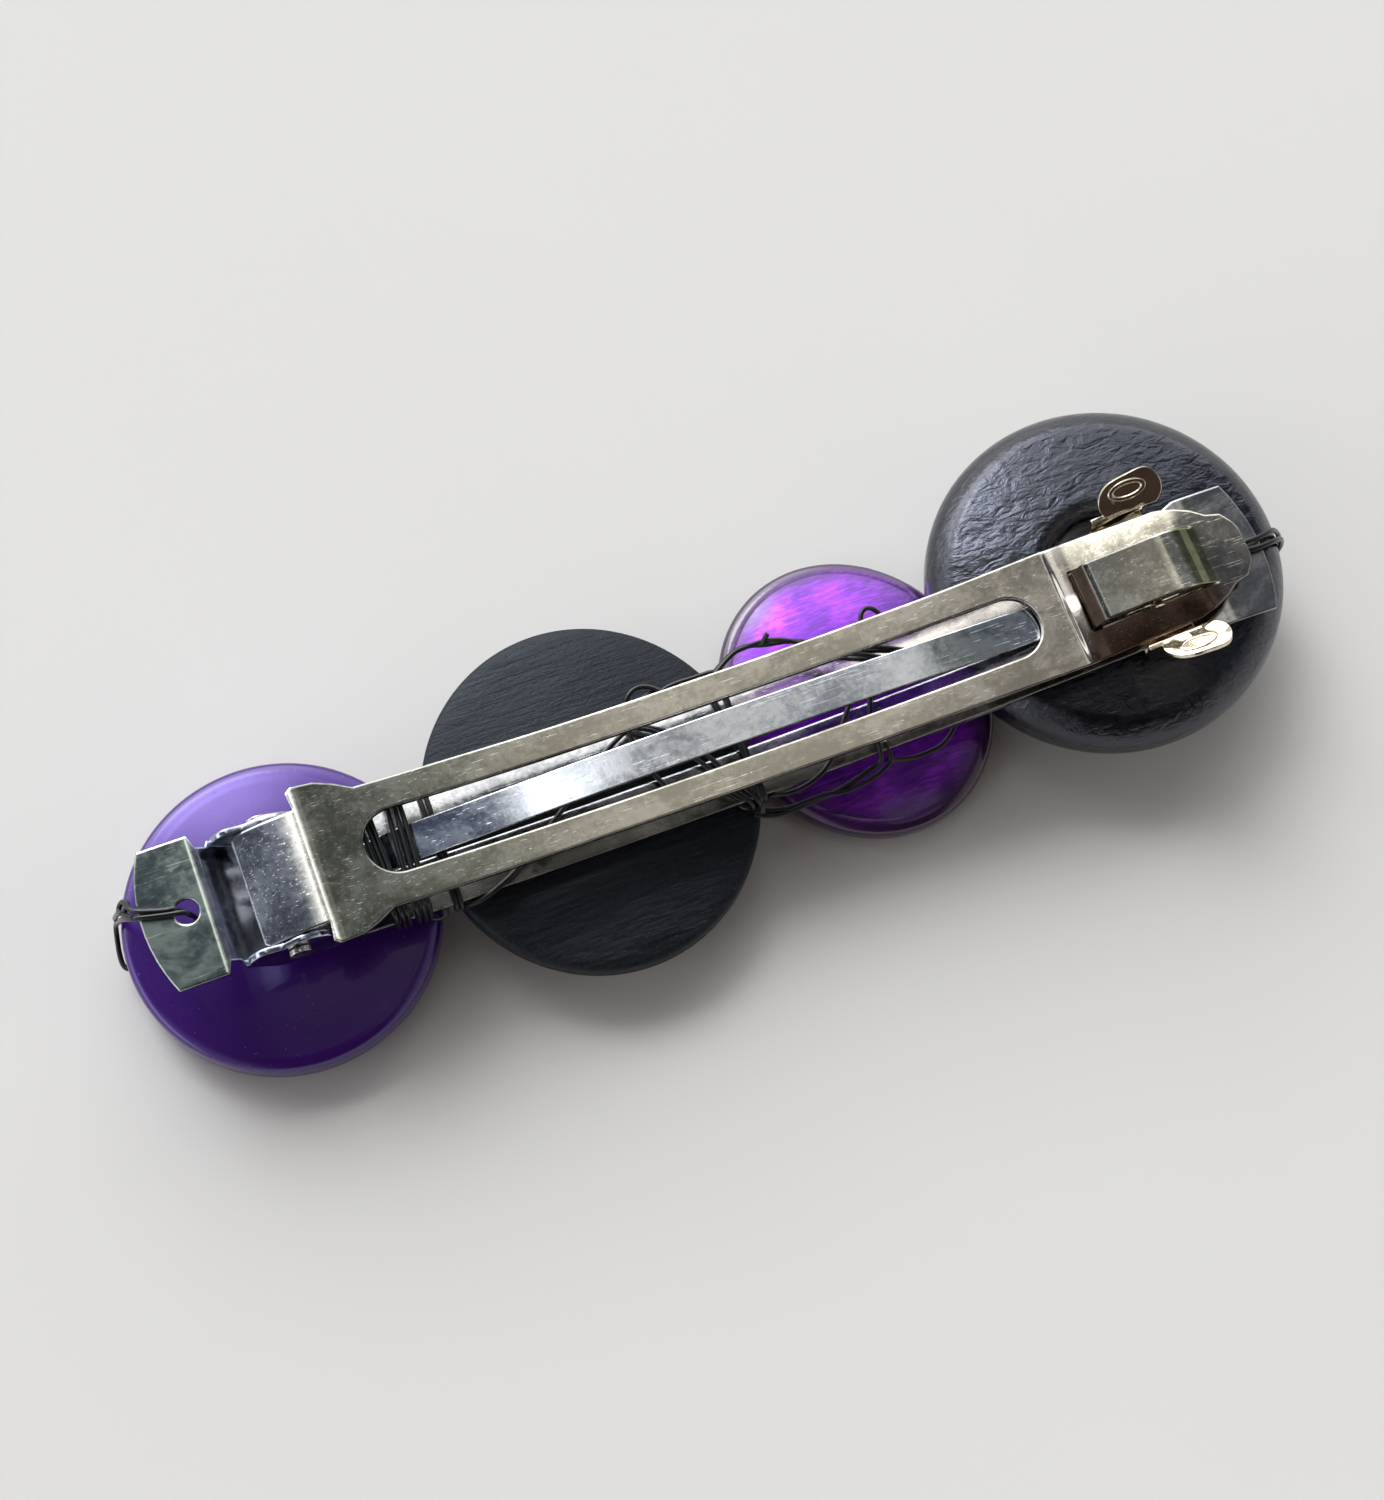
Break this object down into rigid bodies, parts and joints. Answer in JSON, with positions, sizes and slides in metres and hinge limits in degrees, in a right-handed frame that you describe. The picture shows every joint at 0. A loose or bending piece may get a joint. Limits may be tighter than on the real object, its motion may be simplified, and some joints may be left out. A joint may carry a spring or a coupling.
{
  "type": "hair barrette",
  "caption": "Hair barrette: a hinged, latched sheet-metal clasp with a bowed tension strip and round discs wired in a row to its front.",
  "frame": {"origin": "middle of the footprint, on the surface that the discs lie on", "axes": "+X along the clip from its hinge to its latch, +Y across it, +Z from the discs to the clasp side"},
  "size_m": [0.0866, 0.0276, 0.0137],
  "materials": {
    "nickel_plate": "worn nickel-plated steel, fine scratches and mottling",
    "spring_strip": "bright polished spring steel with fine scratches",
    "purple_resin": "glossy opaque purple",
    "pearl_shell": "pearly violet under clear lacquer",
    "black_wood": "matte black stain over fine grain",
    "black_lacquer": "black lacquer, glossy and slightly wrinkled",
    "black_wire": "black enamelled craft wire"
  },
  "bodies": {
    "root": {"purple_disc": "purple_resin", "black_disc": "black_wood", "pearl_disc": "pearl_shell", "donut_disc": "black_lacquer", "base_plate": "nickel_plate", "hinge_pin": "nickel_plate", "tension_strip": "spring_strip", "latch_web": "spring_strip", "string_wire": "black_wire", "right_tab_wire": "black_wire", "strip_wrap": "black_wire", "middle_wrap": "black_wire"},
    "arm": {"clasp_arm": "nickel_plate"},
    "wing_upper": {"latch_wing_upper": "spring_strip"},
    "wing_lower": {"latch_wing_lower": "spring_strip"}
  },
  "joints": [
    {"name": "arm_hinge", "type": "hinge", "parent": "root", "child": "arm", "pos_m": [-0.03137, -0.00154, 0.00915], "axis": [0, -1, 0], "range_deg": [0, 95]},
    {"name": "wing_upper_squeeze", "type": "hinge", "parent": "root", "child": "wing_upper", "pos_m": [0.03093, 0.00006, 0.00983], "axis": [0.9869, 0, 0.1616], "range_deg": [0, 8], "stiffness_Nm_per_rad": 0.00005},
    {"name": "wing_lower_squeeze", "type": "hinge", "parent": "root", "child": "wing_lower", "pos_m": [0.03093, -0.00314, 0.00983], "axis": [-0.9869, 0, -0.1616], "range_deg": [0, 8], "stiffness_Nm_per_rad": 0.00005}
  ]
}
